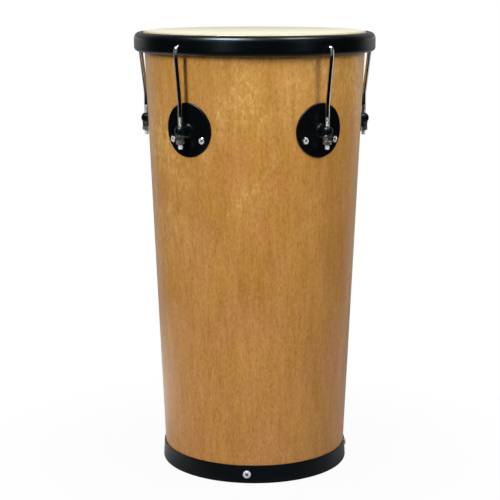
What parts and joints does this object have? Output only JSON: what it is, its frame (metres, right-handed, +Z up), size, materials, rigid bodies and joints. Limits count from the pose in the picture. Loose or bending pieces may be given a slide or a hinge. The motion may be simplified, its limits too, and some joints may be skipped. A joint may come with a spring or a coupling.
{
  "type": "rebolo drum",
  "caption": "Tapered wooden hand drum with a plastic head, a black counter hoop pulled down by threaded hooks and round lugs, and a black base band.",
  "frame": {"origin": "on the drum's axis, in the plane of the floor under the base band", "axes": "+Z up along the drum's axis to the head, -Y to the front midway between two lugs, +X to the right"},
  "size_m": [0.3276, 0.335, 0.6],
  "materials": {
    "varnished_wood": "golden tan veneer under clear gloss varnish",
    "head_film": "milky plastic film, satin",
    "bare_aluminium": "bare, turned",
    "black_enamel": "gloss black enamel",
    "chrome_plate": "polished",
    "zinc_steel": "bright zinc plate"
  },
  "bodies": {
    "drum": {"shell": "varnished_wood", "head_skin": "head_film", "flesh_hoop": "bare_aluminium", "base_band": "black_enamel", "base_band_screws": "chrome_plate", "base_band_nuts": "zinc_steel", "lug_1": "black_enamel", "lug_screws_1": "chrome_plate", "lug_nuts_1": "zinc_steel", "hook_washer_1": "zinc_steel", "lug_2": "black_enamel", "lug_screws_2": "chrome_plate", "lug_nuts_2": "zinc_steel", "hook_washer_2": "zinc_steel", "lug_3": "black_enamel", "lug_screws_3": "chrome_plate", "lug_nuts_3": "zinc_steel", "hook_washer_3": "zinc_steel", "lug_4": "black_enamel", "lug_screws_4": "chrome_plate", "lug_nuts_4": "zinc_steel", "hook_washer_4": "zinc_steel", "lug_5": "black_enamel", "lug_screws_5": "chrome_plate", "lug_nuts_5": "zinc_steel", "hook_washer_5": "zinc_steel"},
    "hoop_and_hooks": {"counter_hoop": "black_enamel", "hook_1": "chrome_plate", "hook_2": "chrome_plate", "hook_3": "chrome_plate", "hook_4": "chrome_plate", "hook_5": "chrome_plate"},
    "nut_pair_1": {"tension_nut_1": "zinc_steel", "lock_nut_1": "zinc_steel"},
    "nut_pair_2": {"tension_nut_2": "zinc_steel", "lock_nut_2": "zinc_steel"},
    "nut_pair_3": {"tension_nut_3": "zinc_steel", "lock_nut_3": "zinc_steel"},
    "nut_pair_4": {"tension_nut_4": "zinc_steel", "lock_nut_4": "zinc_steel"},
    "nut_pair_5": {"tension_nut_5": "zinc_steel", "lock_nut_5": "zinc_steel"}
  },
  "joints": [
    {"name": "hoop_travel", "type": "slide", "parent": "drum", "child": "hoop_and_hooks", "axis": [0, 0, 1], "range_m": [0, 0.004]},
    {"name": "nut_turn_1", "type": "hinge", "parent": "drum", "child": "nut_pair_1", "pos_m": [0.09445, -0.13, 0.4643], "axis": [0, 0, -1], "range_deg": [0, 1440]},
    {"name": "nut_turn_2", "type": "hinge", "parent": "drum", "child": "nut_pair_2", "pos_m": [0.15283, 0.04966, 0.4643], "axis": [0, 0, -1], "range_deg": [0, 1440]},
    {"name": "nut_turn_3", "type": "hinge", "parent": "drum", "child": "nut_pair_3", "pos_m": [0, 0.16069, 0.4643], "axis": [0, 0, -1], "range_deg": [0, 1440]},
    {"name": "nut_turn_4", "type": "hinge", "parent": "drum", "child": "nut_pair_4", "pos_m": [-0.15283, 0.04966, 0.4643], "axis": [0, 0, -1], "range_deg": [0, 1440]},
    {"name": "nut_turn_5", "type": "hinge", "parent": "drum", "child": "nut_pair_5", "pos_m": [-0.09445, -0.13, 0.4643], "axis": [0, 0, -1], "range_deg": [0, 1440]}
  ],
  "couplings": [
    {"joint": "nut_turn_1", "follows": "hoop_travel", "rad_per_m": 6283.2},
    {"joint": "nut_turn_2", "follows": "hoop_travel", "rad_per_m": 6283.2},
    {"joint": "nut_turn_3", "follows": "hoop_travel", "rad_per_m": 6283.2},
    {"joint": "nut_turn_4", "follows": "hoop_travel", "rad_per_m": 6283.2},
    {"joint": "nut_turn_5", "follows": "hoop_travel", "rad_per_m": 6283.2}
  ]
}
